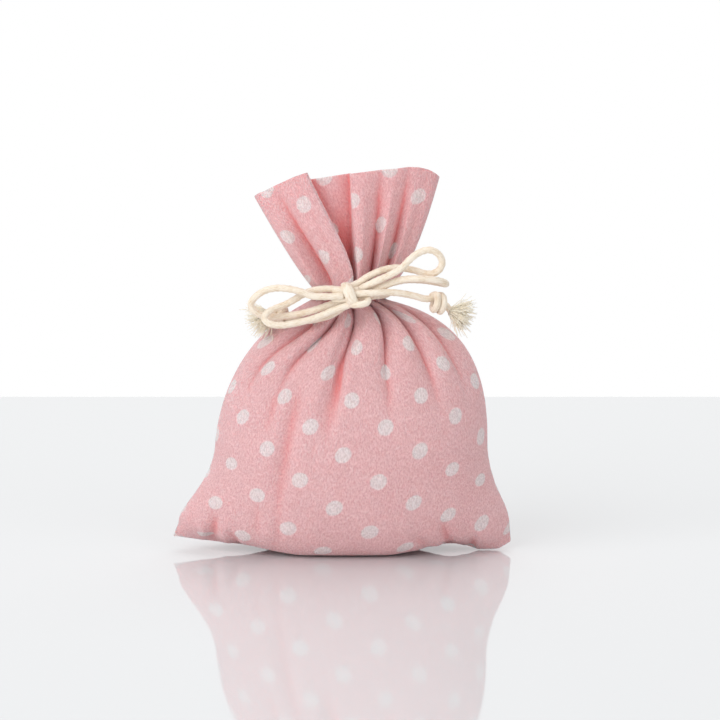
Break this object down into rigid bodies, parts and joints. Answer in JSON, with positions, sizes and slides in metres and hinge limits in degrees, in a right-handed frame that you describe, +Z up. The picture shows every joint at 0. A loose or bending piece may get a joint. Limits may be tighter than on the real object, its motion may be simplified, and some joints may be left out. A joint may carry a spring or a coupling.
{
  "type": "lavender sachet",
  "caption": "Gathered cotton pouch with a dotted print, stuffed with dried flowers and tied at the neck with a cord bow whose loops and tail swing.",
  "frame": {"origin": "on the table under the middle of the pouch", "axes": "+Z up, front of the pouch and its bow towards -Y, +X to the right as seen from the front"},
  "size_m": [0.1008, 0.046, 0.114],
  "materials": {
    "dotted_cotton": "crinkled cotton with printed off-white dots",
    "pink_thread": "sewing thread",
    "cream_cord": "undyed cotton cord",
    "dried_flowers": "dried lavender buds"
  },
  "bodies": {
    "pouch": {"front_panel": "dotted_cotton", "back_panel": "dotted_cotton", "left_side_stitching": "pink_thread", "right_side_stitching": "pink_thread", "bottom_stitching": "pink_thread", "lavender_filling": "dried_flowers", "neck_band": "cream_cord", "bow_knot": "cream_cord"},
    "left_bow": {"upper_left_loop": "cream_cord", "lower_left_loop": "cream_cord", "left_tail": "cream_cord", "left_end_knot": "cream_cord", "left_frayed_end": "cream_cord"},
    "right_bow": {"upper_right_loop": "cream_cord", "lower_right_loop": "cream_cord"},
    "loose_tail": {"right_tail": "cream_cord", "right_end_knot": "cream_cord", "right_frayed_end": "cream_cord"}
  },
  "joints": [
    {"name": "left_bow_swing", "type": "hinge", "parent": "pouch", "child": "left_bow", "pos_m": [-0.0029, -0.0155, 0.077], "axis": [0, 0, 1], "range_deg": [0, 40]},
    {"name": "right_bow_swing", "type": "hinge", "parent": "pouch", "child": "right_bow", "pos_m": [0.0049, -0.0155, 0.079], "axis": [0, 0, 1], "range_deg": [-40, 0]},
    {"name": "loose_tail_swing", "type": "hinge", "parent": "right_bow", "child": "loose_tail", "pos_m": [0.0049, -0.0155, 0.0783], "axis": [0, 0, 1], "range_deg": [-30, 0]}
  ]
}
